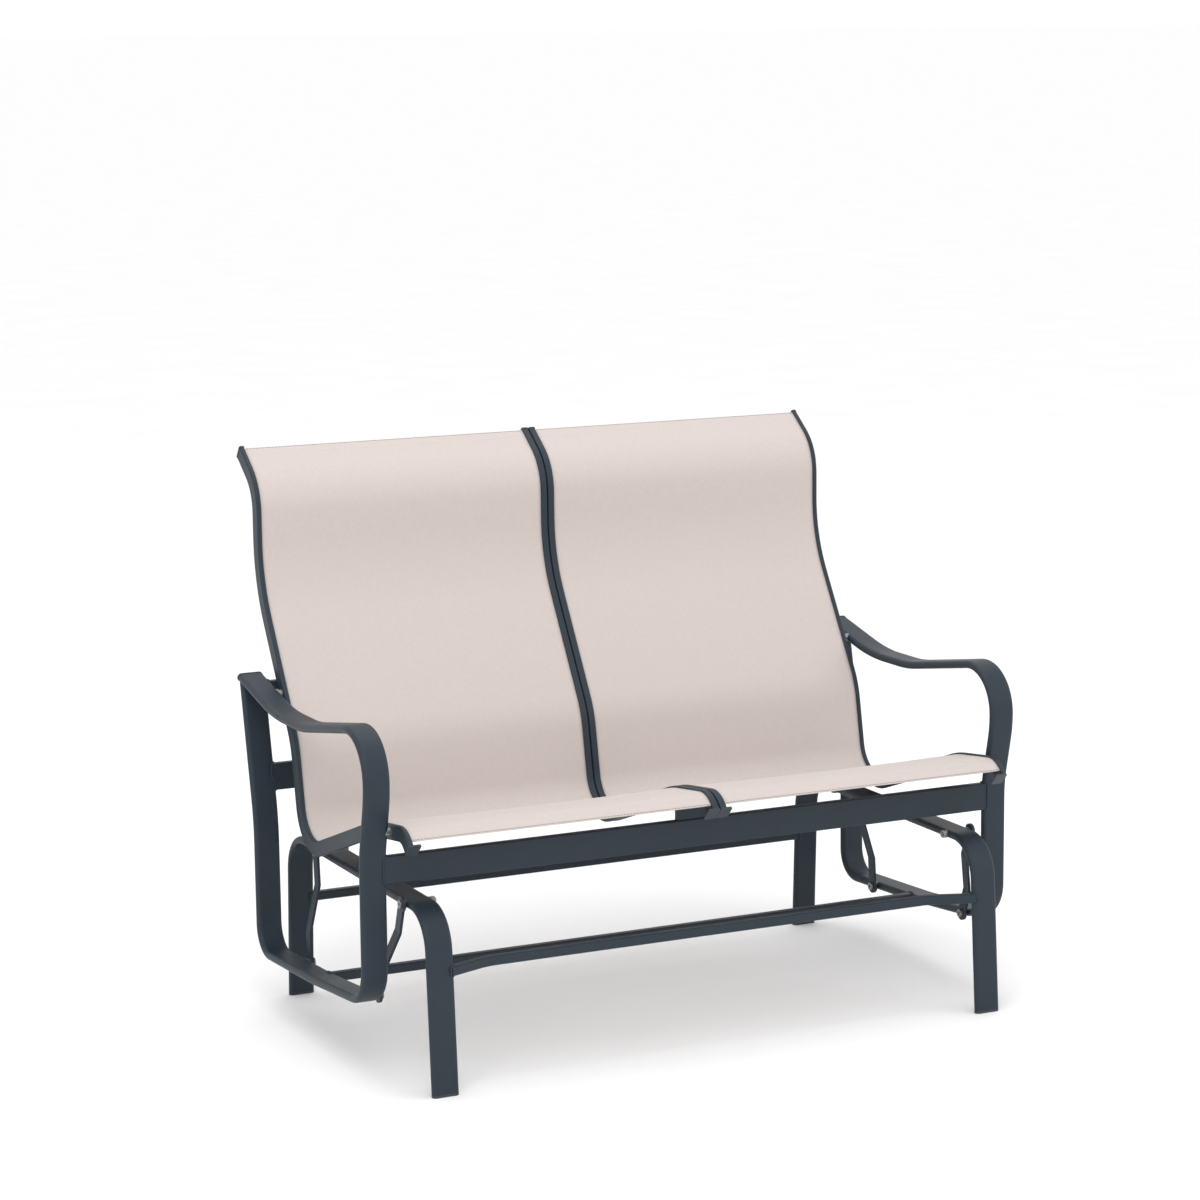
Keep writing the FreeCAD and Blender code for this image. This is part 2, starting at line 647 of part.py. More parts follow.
def open_sleeve(pivot):
    """Rubber sleeve on a rear lower bolt, inside the link's larger eye."""
    y, z = pivot
    x0 = LINK_LOW_X - LINK_THICK / 2 - SIDE_PLAY
    x1 = LOOP_INNER - LOW_WASHER
    return tube(OPEN_BUSH_R, BOLT_R + FIT_CLEAR, x0, x1, y, z)


# ---------------------------------------------------------------- build
def base_parts():
    bar = base_bar(BASE_X)
    bars = compound([bar, mirrored(bar, -1)])
    frame = base_end_frame(bar)
    front_glide = foot_glide(True, bar)
    rear_glide = foot_glide(False, bar)
    parts = {
        "base_front_stretcher": front_stretcher(bars),
        "base_rear_stretcher": rear_stretcher(bars),
    }
    for name, side in SIDES:
        parts["base_%s_end_frame" % name] = mirrored(frame, side)
        parts["%s_front_glide" % name] = mirrored(front_glide, side)
        parts["%s_rear_glide" % name] = mirrored(rear_glide, side)
        parts["%s_front_top_bolt" % name] = mirrored(top_bolt(FRONT_TOP_PIVOT), side)
        parts["%s_rear_top_bolt" % name] = mirrored(top_bolt(REAR_TOP_PIVOT), side)
    pivots = (FRONT_TOP_PIVOT, REAR_TOP_PIVOT)
    nuts = [top_nut(p, bar) for p in pivots]
    washers = [top_washer(p, bar) for p in pivots]
    parts["top_nuts"] = compound([mirrored(n, s) for n in nuts for _, s in SIDES])
    parts["top_washers"] = compound([mirrored(w, s) for w in washers for _, s in SIDES])
    return parts


def link_parts():
    front = link_bar(FRONT_TOP_PIVOT, FRONT_LOW_PIVOT, BUSH_R)
    rear = link_bar(REAR_TOP_PIVOT, REAR_LOW_PIVOT, OPEN_BORE_R)
    bushes = {
        "front_link_top_bush": link_bush(LINK_TOP_X, FRONT_TOP_PIVOT),
        "front_link_low_bush": link_bush(LINK_LOW_X, FRONT_LOW_PIVOT),
        "rear_link_top_bush": link_bush(LINK_TOP_X, REAR_TOP_PIVOT),
    }
    parts = {}
    for name, side in SIDES:
        parts["%s_front_link" % name] = mirrored(front, side)
        parts["%s_rear_link" % name] = mirrored(rear, side)
        for bush, shape in bushes.items():
            parts["%s_%s" % (name, bush)] = mirrored(shape, side)
    return parts


def seat_bars(bar):
    """Cross members between the two arm loops."""
    bars = compound([bar, mirrored(bar, -1)])
    return {
        "seat_front_rail": cross_rail(FRONT_RAIL_Y, FRONT_RAIL_Z, bars),
        "seat_rear_rail": cross_rail(REAR_RAIL_Y, REAR_RAIL_Z, bars),
        "seat_upper_rear_bar": cross_bar(UPPER_BAR_Y, UPPER_BAR_Z, bars),
        "seat_lower_bar": cross_bar(LOWER_BAR_Y, LOWER_BAR_Z, bars),
    }


def seat_sides(bar):
    """Right-hand pieces of the seat, by their names without the side."""
    head_x = LINK_LOW_X - LINK_THICK / 2 - SIDE_PLAY
    cords = [spline_cord(OUTER_RAIL_X, -1), spline_cord(CENTRE_RAIL_X, 1)]
    top_caps = [rail_end_cap(x, True) for x in (OUTER_RAIL_X, CENTRE_RAIL_X)]
    front_caps = [rail_end_cap(x, False) for x in (OUTER_RAIL_X, CENTRE_RAIL_X)]
    return {
        "arm_loop": arm_loop(bar),
        "arm_cap": arm_cap(),
        "outer_sling_rail": outer_rail(),
        "centre_sling_rail": sling_rail(CENTRE_RAIL_X, 1),
        "spline_cords": compound(cords),
        "sling": sling(),
        "rail_top_caps": compound(top_caps),
        "rail_front_caps": compound(front_caps),
        "side_screws": compound([side_screw(p) for p in SIDE_SCREWS]),
        "side_spacers": compound([side_spacer(p, bar) for p in SIDE_SCREWS]),
        "front_low_bolt": low_bolt(FRONT_LOW_PIVOT, head_x),
        "rear_low_bolt": low_bolt(REAR_LOW_PIVOT, head_x),
        "open_sleeve": open_sleeve(REAR_LOW_PIVOT),
    }


def seat_parts():
    bar = loop_bar()
    parts = seat_bars(bar)
    for piece, shape in seat_sides(bar).items():
        for name, side in SIDES:
            parts["%s_%s" % (name, piece)] = mirrored(shape, side)
    parts["centre_front_block"] = front_block()
    parts["centre_back_spacer"] = back_spacer(rail_room(CENTRE_RAIL_X + CENTRE_RAIL_WIDTH / 2))
    pivots = (FRONT_LOW_PIVOT, REAR_LOW_PIVOT)
    washers = [low_washer(p, bar) for p in pivots]
    parts["low_washers"] = compound([mirrored(w, s) for w in washers for _, s in SIDES])
    screws = [back_screw(side * CENTRE_RAIL_X) for _, side in SIDES]
    parts["back_screws"] = compound(screws)
    return parts


def middle_y(parts):
    """Y midway between the frontmost glide edge and the rearmost rail cap edge."""
    front = parts["right_front_glide"].optimalBoundingBox().YMin
    rear = parts["right_rail_top_caps"].optimalBoundingBox().YMax
    return (front + rear) / 2


def main():
    parts = {}
    parts.update(base_parts())
    parts.update(link_parts())
    parts.update(seat_parts())
    shift = V(0, -middle_y(parts), 0)
    os.makedirs("parts", exist_ok=True)
    for name, shape in parts.items():
        shape.translate(shift)
        shape.exportStep("parts/%s.step" % name)


main()
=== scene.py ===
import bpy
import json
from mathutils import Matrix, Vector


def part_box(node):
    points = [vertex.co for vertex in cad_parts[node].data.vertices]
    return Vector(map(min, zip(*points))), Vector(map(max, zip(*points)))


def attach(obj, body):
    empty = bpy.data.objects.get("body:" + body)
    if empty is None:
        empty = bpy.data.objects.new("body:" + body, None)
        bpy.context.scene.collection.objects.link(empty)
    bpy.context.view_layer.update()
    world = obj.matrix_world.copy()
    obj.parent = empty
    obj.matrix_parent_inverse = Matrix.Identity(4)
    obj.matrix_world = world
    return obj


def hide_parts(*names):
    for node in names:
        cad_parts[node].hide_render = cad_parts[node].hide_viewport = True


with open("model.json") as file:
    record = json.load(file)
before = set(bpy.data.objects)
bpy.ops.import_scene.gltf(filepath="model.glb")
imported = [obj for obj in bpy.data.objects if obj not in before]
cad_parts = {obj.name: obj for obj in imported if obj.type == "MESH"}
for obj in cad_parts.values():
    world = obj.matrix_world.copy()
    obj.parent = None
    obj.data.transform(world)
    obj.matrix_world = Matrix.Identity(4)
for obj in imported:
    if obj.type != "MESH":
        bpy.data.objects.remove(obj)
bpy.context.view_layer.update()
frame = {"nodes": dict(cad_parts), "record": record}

import json
import math
import bpy
import numpy as np
from mathutils import Matrix

MM = 0.001
NODES = frame["nodes"]
RECORD = frame["record"]


# ---------------------------------------------------------------- camera
def place_camera():
    """Long-lens camera to the left of the front, a little above the armrests."""
    turn, tilt, roll = (math.radians(a) for a in (25.501, 9.786, -0.532))
    right = np.array([math.cos(turn), -math.sin(turn), 0.0])
    ahead = np.array([math.sin(turn) * math.cos(tilt), math.cos(turn) * math.cos(tilt), -math.sin(tilt)])
    up = np.cross(right, ahead)
    right, up = (math.cos(roll) * right + math.sin(roll) * up,
                 math.cos(roll) * up - math.sin(roll) * right)
    data = bpy.data.cameras.new("camera")
    data.sensor_width = 36.0
    data.lens = 101.455
    data.clip_end = 3000.0
    camera = bpy.data.objects.new("camera", data)
    bpy.context.scene.collection.objects.link(camera)
    pose = np.eye(4)
    pose[:3, 0], pose[:3, 1], pose[:3, 2] = right, up, -ahead
    pose[:3, 3] = (-2.6600, -5.4891, 1.7976)
    camera.matrix_world = Matrix(pose.tolist())
    bpy.context.scene.camera = camera


place_camera()


# ---------------------------------------------------------------- places from the frame
def middle(node):
    """Centre of a node's box, in metres."""
    low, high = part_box(node)
    return (np.array(low) + np.array(high)) / 2


# the part's drawing puts the front hanging pivot 45 mm behind its Y = 0
DRAWN_Y = middle("right_front_top_bolt")[1] - 45 * MM
LOOP_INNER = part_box("right_arm_loop")[0][0]
BASE_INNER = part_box("base_right_end_frame")[0][0]
OUTER_RAIL = (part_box("right_outer_sling_rail")[0][0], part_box("right_outer_sling_rail")[1][0])
CENTRE_RAIL = (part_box("right_centre_sling_rail")[0][0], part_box("right_centre_sling_rail")[1][0])


# ---------------------------------------------------------------- mesh helpers
def link(name, mesh):
    piece = bpy.data.objects.new(name, mesh)
    bpy.context.scene.collection.objects.link(piece)
    return piece


def grid_faces(rows, cols, wrap_rows=False, wrap_cols=False):
    """Quads of a rows by cols grid of points, as an index array; wrap joins the last to the first."""
    i = np.arange(rows if wrap_rows else rows - 1)
    j = np.arange(cols if wrap_cols else cols - 1)
    i, j = (a.ravel() for a in np.meshgrid(i, j, indexing="ij"))
    k, m = (i + 1) % rows, (j + 1) % cols
    return np.stack([i * cols + j, k * cols + j, k * cols + m, i * cols + m], axis=1)


def mesh_piece(name, points, faces, uv=None):
    """Object from an (n, 3) array of points and an (m, 4) array of quads; uv is (n, 2)."""
    mesh = bpy.data.meshes.new(name)
    mesh.vertices.add(len(points))
    mesh.vertices.foreach_set("co", np.ascontiguousarray(points, dtype=np.float32).ravel())
    mesh.loops.add(faces.size)
    mesh.loops.foreach_set("vertex_index", faces.astype(np.int32).ravel())
    mesh.polygons.add(len(faces))
    mesh.polygons.foreach_set("loop_start", np.arange(0, faces.size, 4, dtype=np.int32))
    mesh.polygons.foreach_set("use_smooth", np.ones(len(faces), dtype=bool))
    mesh.update(calc_edges=True)
    if uv is not None:
        layer = mesh.uv_layers.new(name="cloth")
        layer.data.foreach_set("uv", uv[faces.ravel()].astype(np.float32).ravel())
    mesh.validate()
    return link(name, mesh)


def bent_line(corners, step):
    """Points along straight runs joined by tangent arcs, in the plane of Y and Z.

    Each arc starts and ends r tan(turn / 2) from its corner; its points turn evenly about its centre.
    Returns (n, 2) points and (n, 2) unit directions, corners given in millimetres as (y, z, r)."""
    spots = np.array([c[:2] for c in corners], dtype=float) * MM
    runs = np.diff(spots, axis=0)
    ways = runs / np.linalg.norm(runs, axis=1)[:, None]
    out, aim, start = [], [], spots[0]
    for n in range(1, len(spots)):
        if n < len(spots) - 1:
            r = corners[n][2] * MM
            a, b = ways[n - 1], ways[n]
            turn = math.atan2(a[0] * b[1] - a[1] * b[0], a @ b)
            cut = abs(r * math.tan(turn / 2))
            stop = spots[n] - a * cut
        else:
            stop = spots[n]
        count = max(2, int(np.linalg.norm(stop - start) / step))
        t = np.linspace(0, 1, count, endpoint=False)[:, None]
        out.append(start + (stop - start) * t)
        aim.append(np.repeat(ways[n - 1][None], count, axis=0))
        if n < len(spots) - 1:
            side = math.copysign(1.0, turn)
            centre = stop + side * r * np.array([-a[1], a[0]])
            count = max(4, int(abs(turn) * r / step))
            angle = np.linspace(0, turn, count, endpoint=False)
            c, s = np.cos(angle), np.sin(angle)
            arm = stop - centre
            out.append(centre + np.stack([c * arm[0] - s * arm[1], s * arm[0] + c * arm[1]], axis=1))
            aim.append(np.stack([c * a[0] - s * a[1], s * a[0] + c * a[1]], axis=1))
            start = spots[n] + b * cut
    out.append(spots[-1:])
    aim.append(ways[-1:])
    return np.concatenate(out), np.concatenate(aim)


# ---------------------------------------------------------------- node helpers for materials
class Shader:
    """A material under construction, with short calls for its nodes."""

    def __init__(self, name):
        self.material = bpy.data.materials.new(name)
        self.material.use_nodes = True
        self.tree = self.material.node_tree
        self.bsdf = self.tree.nodes["Principled BSDF"]

    def node(self, kind, **values):
        made = self.tree.nodes.new(kind)
        for key, value in values.items():
            setattr(made, key, value)
        return made

    def join(self, source, target):
        self.tree.links.new(source, target)

    def math(self, operation, a, b=0.0, clamp=False):
        made = self.node("ShaderNodeMath", operation=operation, use_clamp=clamp)
        for socket, value in ((made.inputs[0], a), (made.inputs[1], b)):
            if isinstance(value, (int, float)):
                socket.default_value = value
            else:
                self.join(value, socket)
        return made.outputs[0]

    def noise(self, where, scale, detail=3.0, roughness=0.5):
        made = self.node("ShaderNodeTexNoise")
        made.inputs["Scale"].default_value = scale
        made.inputs["Detail"].default_value = detail
        made.inputs["Roughness"].default_value = roughness
        self.join(where, made.inputs["Vector"])
        return made.outputs["Fac"]

    def ramp(self, value, low, high, a, b):
        """Colour from a to b as value goes from low to high."""
        made = self.node("ShaderNodeValToRGB")
        first, last = made.color_ramp.elements
        first.position, last.position = low, high
        first.color, last.color = (*a, 1), (*b, 1)
        self.join(value, made.inputs["Fac"])
        return made.outputs["Color"]

    def spread(self, value, low, high):
        """Scales a 0 to 1 value to a range."""
        made = self.node("ShaderNodeMapRange")
        made.inputs["To Min"].default_value = low
        made.inputs["To Max"].default_value = high
        self.join(value, made.inputs["Value"])
        return made.outputs["Result"]

    def bump(self, height, distance, strength=1.0, over=None):
        made = self.node("ShaderNodeBump")
        made.inputs["Distance"].default_value = distance
        made.inputs["Strength"].default_value = strength
        self.join(height, made.inputs["Height"])
        if over is not None:
            self.join(over, made.inputs["Normal"])
        return made.outputs["Normal"]

    def set(self, **values):
        for key, value in values.items():
            self.bsdf.inputs[key.replace("_", " ")].default_value = value
        return self


def shade(colour, factor):
    return tuple(min(1.0, c * factor) for c in colour)


SLATE = (0.016, 0.026, 0.037)
LINEN = (0.545, 0.482, 0.455)


def powder_coat():
    """Slate powder coat: pebbled skin of about a millimetre, faint cloudiness and rare pale specks."""
    m = Shader("slate_powder_coat")
    where = m.node("ShaderNodeTexCoord").outputs["Object"]
    pebble = m.noise(where, 820.0, 2.0, 0.45)
    cloud = m.noise(where, 9.0, 3.0, 0.6)
    tone = m.ramp(cloud, 0.3, 0.7, shade(SLATE, 0.93), shade(SLATE, 1.07))
    speck = m.ramp(m.noise(where, 1500.0, 1.0), 0.74, 0.80, (0, 0, 0), (0.02, 0.022, 0.025))
    add = m.node("ShaderNodeMix", data_type="RGBA", blend_type="ADD")
    add.inputs[0].default_value = 1.0
    m.join(tone, add.inputs[6])
    m.join(speck, add.inputs[7])
    m.join(add.outputs[2], m.bsdf.inputs["Base Color"])
    m.join(m.spread(cloud, 0.42, 0.54), m.bsdf.inputs["Roughness"])
    m.join(m.bump(pebble, 0.00012, 0.55), m.bsdf.inputs["Normal"])
    return m.set(Metallic=0.0, Specular_IOR_Level=0.3).material


def moulded_plastic(name, colour, grain, rough):
    """Moulded plastic: spark-eroded grain and slight sink marks."""
    m = Shader(name)
    where = m.node("ShaderNodeTexCoord").outputs["Object"]
    fine = m.noise(where, grain, 2.0, 0.6)
    broad = m.noise(where, 60.0, 2.0)
    m.join(m.ramp(broad, 0.35, 0.65, shade(colour, 0.9), shade(colour, 1.12)),
           m.bsdf.inputs["Base Color"])
    m.join(m.spread(fine, rough - 0.07, rough + 0.07), m.bsdf.inputs["Roughness"])
    broad_bump = m.bump(broad, 0.0004, 0.25)
    m.join(m.bump(fine, 0.00008, 0.5, broad_bump), m.bsdf.inputs["Normal"])
    return m.material


def plated_steel():
    """Dark zinc-plated steel: a mottled passivated tint with a fine grain."""
    m = Shader("plated_steel")
    where = m.node("ShaderNodeTexCoord").outputs["Object"]
    mottle = m.noise(where, 140.0, 4.0, 0.6)
    m.join(m.ramp(mottle, 0.3, 0.7, (0.16, 0.165, 0.17), (0.30, 0.30, 0.29)), m.bsdf.inputs["Base Color"])
    m.join(m.spread(mottle, 0.3, 0.5), m.bsdf.inputs["Roughness"])
    m.join(m.bump(m.noise(where, 2200.0, 2.0), 0.00004, 0.5), m.bsdf.inputs["Normal"])
    return m.set(Metallic=0.85).material


def sling_cloth():
    """Vinyl-coated yarns in a two by one basket weave of 1.6 mm pitch, read from the cloth's own UV.

    Across and along yarns are rounded ridges, each the positive half of a sine; a third sine swaps
    which yarn is on top, so the surface goes over and under."""
    m = Shader("woven_sling")
    uv = m.node("ShaderNodeUVMap", uv_map="cloth")
    split = m.node("ShaderNodeSeparateXYZ")
    m.join(uv.outputs["UV"], split.inputs[0])
    across, along = split.outputs[0], split.outputs[1]
    pitch = 0.0016
    warp = m.math("ABSOLUTE", m.math("SINE", m.math("MULTIPLY", across, math.pi / pitch)))
    weft = m.math("ABSOLUTE", m.math("SINE", m.math("MULTIPLY", along, math.pi / pitch)))
    swap_u = m.math("SINE", m.math("MULTIPLY", across, math.pi / (2 * pitch)))
    swap_v = m.math("SINE", m.math("MULTIPLY", along, math.pi / pitch))
    swap = m.math("ADD", m.math("MULTIPLY", m.math("MULTIPLY", swap_u, swap_v), 0.5), 0.5, True)
    top = m.math("MULTIPLY", warp, swap)
    below = m.math("MULTIPLY", weft, m.math("SUBTRACT", 1.0, swap))
    height = m.math("MAXIMUM", top, below)
    where = m.node("ShaderNodeTexCoord").outputs["Object"]
    slub = m.noise(where, 160.0, 3.0, 0.5)
    # colour is darker where the weave dips: painted shade in the hollows between yarns, mixed with random
    # slub tone
    yarn = m.math("ADD", m.math("MULTIPLY", height, 0.6), m.math("MULTIPLY", slub, 0.4))
    m.join(m.ramp(yarn, 0.12, 0.85, shade(LINEN, 0.84), shade(LINEN, 1.05)), m.bsdf.inputs["Base Color"])
    m.join(m.spread(slub, 0.62, 0.74), m.bsdf.inputs["Roughness"])
    waves = m.bump(slub, 0.0003, 0.10)
    m.join(m.bump(height, 0.0003, 0.55, waves), m.bsdf.inputs["Normal"])
    return m.set(Sheen_Weight=0.15, Sheen_Roughness=0.5, Specular_IOR_Level=0.35).material


def thread(name, colour):
    """Twisted sewing thread: fine slanting ridges, lighter on the ridges and darker in the grooves between
    them as painted highlight and shade.
    """
    m = Shader(name)
    where = m.node("ShaderNodeTexCoord").outputs["Object"]
    twist = m.node("ShaderNodeTexWave", bands_direction="DIAGONAL")
    twist.inputs["Scale"].default_value = 700.0
    m.join(where, twist.inputs["Vector"])
    # colour follows the twist ridges: painted highlight on the ridges, painted shade in the grooves
    m.join(m.ramp(twist.outputs["Fac"], 0.1, 0.9, shade(colour, 0.75), shade(colour, 1.2)),
           m.bsdf.inputs["Base Color"])
    m.join(m.bump(twist.outputs["Fac"], 0.0001, 0.5), m.bsdf.inputs["Normal"])
    return m.set(Roughness=0.6, Sheen_Weight=0.2).material


PAINT = powder_coat()
CAP_PLASTIC = moulded_plastic("slate_cap_plastic", (0.018, 0.027, 0.037), 1300.0, 0.46)
GLIDE_PLASTIC = moulded_plastic("dark_glide_plastic", (0.028, 0.033, 0.04), 1100.0, 0.55)
CORD_PLASTIC = moulded_plastic("spline_cord_plastic", (0.05, 0.055, 0.06), 900.0, 0.5)
BUSH_NYLON = moulded_plastic("bush_nylon", (0.42, 0.42, 0.39), 1400.0, 0.42)
SLEEVE_RUBBER = moulded_plastic("sleeve_rubber", (0.02, 0.021, 0.022), 700.0, 0.78)
STEEL = plated_steel()
CLOTH = sling_cloth()
DARK_THREAD = thread("slate_thread", (0.055, 0.065, 0.075))
PALE_THREAD = thread("linen_thread", (0.60, 0.53, 0.48))


def finish_of(node, slot_name):
    if "glide" in node:
        return GLIDE_PLASTIC
    return {
        "frame_paint": PAINT, "black_plastic": CAP_PLASTIC, "spline_cord": CORD_PLASTIC,
        "bush_nylon": BUSH_NYLON, "sleeve_rubber": SLEEVE_RUBBER, "steel": STEEL,
        "sling_fabric": CLOTH,
    }[slot_name]


def dress_frame():
    """Gives every node of the frame its finish."""
    for entry in RECORD["subparts"]:
        node = NODES[entry["node"]]
        node.data.materials.clear()
        node.data.materials.append(finish_of(entry["node"], entry["material_slot"]))


dress_frame()


# ---------------------------------------------------------------- slings
# front face of the sling rails as far as the sling goes: y, z, bend radius in millimetres on the
# part's drawing
RAIL_PATH = [
    (747.0, 1019.5, 0.0),
    (661.5, 957.0, 100.0),
    (661.0, 783.0, 260.0),
    (492.0, 512.0, 170.0),
    (456.0, 326.5, 60.0),
    (117.0, 446.0, 200.0),
    (-17.0, 463.5, 55.0),
    (-37.58, 443.3, 0.0),
]
GROOVE_BELOW_FACE = 3.4 * MM
GROOVE_INSET = 4.2 * MM    # groove centre in from a rail's side
SPLINE_R = 1.2 * MM
SIDE_CLEAR = 0.5 * MM      # sling edge to the spline cord
CLOTH_THICK = 1.1 * MM
HEM = 22 * MM
FOLD_R = 0.9 * MM
FACE_ROWS = 210          # rows of points down a sling's face
HEM_ROWS = 9             # rows of points down the back layer of a hem
SLING_COLUMNS = 57


def rail_line(step=6 * MM):
    """Points, outward normals and running length of the rails' front face, from top to front."""
    points, ways = bent_line(RAIL_PATH, step)
    points = points + np.array([DRAWN_Y, 0.0])
    normals = np.stack([ways[:, 1], -ways[:, 0]], axis=1)
    length = np.concatenate([[0.0], np.cumsum(np.linalg.norm(np.diff(points, axis=0), axis=1))])
    return points, normals, length


def line_at(s, line):
    """Point and normal at running lengths s, by straight interpolation."""
    points, normals, length = line
    spot = np.stack([np.interp(s, length, points[:, k]) for k in (0, 1)], axis=1)
    out = np.stack([np.interp(s, length, normals[:, k]) for k in (0, 1)], axis=1)
    return spot, out / np.linalg.norm(out, axis=1)[:, None]


def give(across, s, total):
    """How far the cloth sags behind the straight line between its rails, in metres.

    A parabola across the width, deepest in the seat and shallow in the back."""
    seat = np.exp(-((s - 0.80 * total) / (0.13 * total)) ** 2)
    back = np.exp(-((s - 0.36 * total) / (0.16 * total)) ** 2)
    return (4 * across * (1 - across)) * (3.5 * MM * seat + 2.2 * MM * back)


def sling_sheet(name, x_low, x_high):
    """One sling: the rail line carried across X, with both ends folded back as hems.

    Along the cloth the line runs on the back layer of the top hem, round a half circle, down the whole
    face, round a half circle and along the back layer of the front hem."""
    line = rail_line()
    total = line[2][-1]
    end = 1.5 * MM
    bend = np.linspace(0, math.pi, 7)[1:-1]
    face = np.linspace(end, total - end, FACE_ROWS)
    top_back = np.linspace(end + HEM, end, HEM_ROWS)
    front_back = np.linspace(total - end, total - end - HEM, HEM_ROWS)
    s = np.concatenate([top_back, end - FOLD_R * np.sin(bend), face,
                        total - end + FOLD_R * np.sin(bend), front_back])
    back = np.full(HEM_ROWS, -2 * FOLD_R)
    lift = np.concatenate([back, -FOLD_R - FOLD_R * np.cos(bend), np.zeros(FACE_ROWS),
                           -FOLD_R + FOLD_R * np.cos(bend), back])
    clipped = np.clip(s, 0, total)
    spot, out = line_at(clipped, line)
    beyond = (s - clipped)[:, None]
    spot = spot + np.stack([-out[:, 1], out[:, 0]], axis=1) * beyond
    across = np.linspace(0, 1, SLING_COLUMNS)
    sag = give(across[None, :], clipped[:, None], total)
    x = x_low + (x_high - x_low) * across
    depth = (-GROOVE_BELOW_FACE + lift)[:, None] - sag
    grid = np.empty((len(s), SLING_COLUMNS, 3))
    grid[..., 0] = x
    grid[..., 1] = spot[:, 0, None] + out[:, 0, None] * depth
    grid[..., 2] = spot[:, 1, None] + out[:, 1, None] * depth
    steps = np.linalg.norm(np.diff(grid[:, SLING_COLUMNS // 2], axis=0), axis=1)
    run = np.concatenate([[0.0], np.cumsum(steps)])
    uv = np.stack(np.broadcast_arrays(x[None, :] - x_low, run[:, None]), axis=-1).reshape(-1, 2)
    piece = mesh_piece(name, grid.reshape(-1, 3), grid_faces(len(s), SLING_COLUMNS)[:, ::-1], uv)
    wall = piece.modifiers.new("wall", "SOLIDIFY")
    wall.thickness = CLOTH_THICK
    wall.offset = 0.0
    piece.data.materials.append(CLOTH)
    return piece, (x_high - x_low, float(run[-1]))


def stitch_row(name, x_low, x_high, s, finish, size=(3.0, 0.75, 0.38), pitch=4.3, side=1.0):
    """A row of stitches across a sling at one running length.

    Each stitch is a short bead: an ellipse section that shrinks to its ends as the root of one minus
    the square of the place along it. size is length, width and height in millimetres."""
    line = rail_line()
    total = line[2][-1]
    long, wide, high = (v * MM for v in size)
    count = int((x_high - x_low - 6 * MM) / (pitch * MM))
    first = (x_low + x_high - (count - 1) * pitch * MM) / 2
    centre = first + np.arange(count) * pitch * MM
    t = np.linspace(-1, 1, 6)
    a = np.linspace(0, 2 * math.pi, 7, endpoint=False)
    swell = np.sqrt(np.clip(1 - t ** 2, 0.02, 1))
    x = centre[:, None, None] + 0.5 * long * t[None, :, None] + 0 * a
    ds = (0.5 * wide * swell[:, None] * np.cos(a))[None] + 0 * x
    up = (high * swell[:, None] * np.sin(a))[None] + 0 * x
    spot, out = line_at(np.array([s]), line)
    spot, out = spot[0], out[0]
    way = np.array([-out[1], out[0]])
    sag = give((x - x_low) / (x_high - x_low), s, total)
    depth = -GROOVE_BELOW_FACE + side * (CLOTH_THICK / 2) - sag + up
    points = np.stack([x, spot[0] + way[0] * ds + out[0] * depth,
                       spot[1] + way[1] * ds + out[1] * depth], axis=-1)
    one = grid_faces(6, 7, wrap_cols=True)
    faces = (one[None] + (np.arange(count) * 42)[:, None, None]).reshape(-1, 4)
    piece = mesh_piece(name, points.reshape(-1, 3), faces[:, ::-1])
    piece.data.materials.append(finish)
    return piece


def slings():
    groove = GROOVE_INSET
    reach = SPLINE_R + SIDE_CLEAR
    inner = CENTRE_RAIL[1] - groove + reach
    outer = OUTER_RAIL[0] + groove - reach
    total = rail_line()[2][-1]
    for name, sign in (("left", -1), ("right", 1)):
        x_low, x_high = sorted((sign * inner, sign * outer))
        cloth, flat = sling_sheet("%s_sling_cloth" % name, x_low, x_high)
        rows = [
            stitch_row("%s_top_edge_stitches" % name, x_low, x_high, 2.4 * MM, DARK_THREAD,
                       (4.6, 1.1, 0.55), 6.2),
            stitch_row("%s_top_hem_stitches" % name, x_low, x_high, 19.5 * MM, PALE_THREAD),
            stitch_row("%s_front_edge_stitches" % name, x_low, x_high, total - 2.4 * MM, DARK_THREAD,
                       (4.6, 1.1, 0.55), 6.2),
            stitch_row("%s_front_hem_stitches" % name, x_low, x_high, total - 19.5 * MM, PALE_THREAD),
        ]
        for piece in [cloth] + rows:
            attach(piece, "seat")
        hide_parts("%s_sling" % name)


slings()


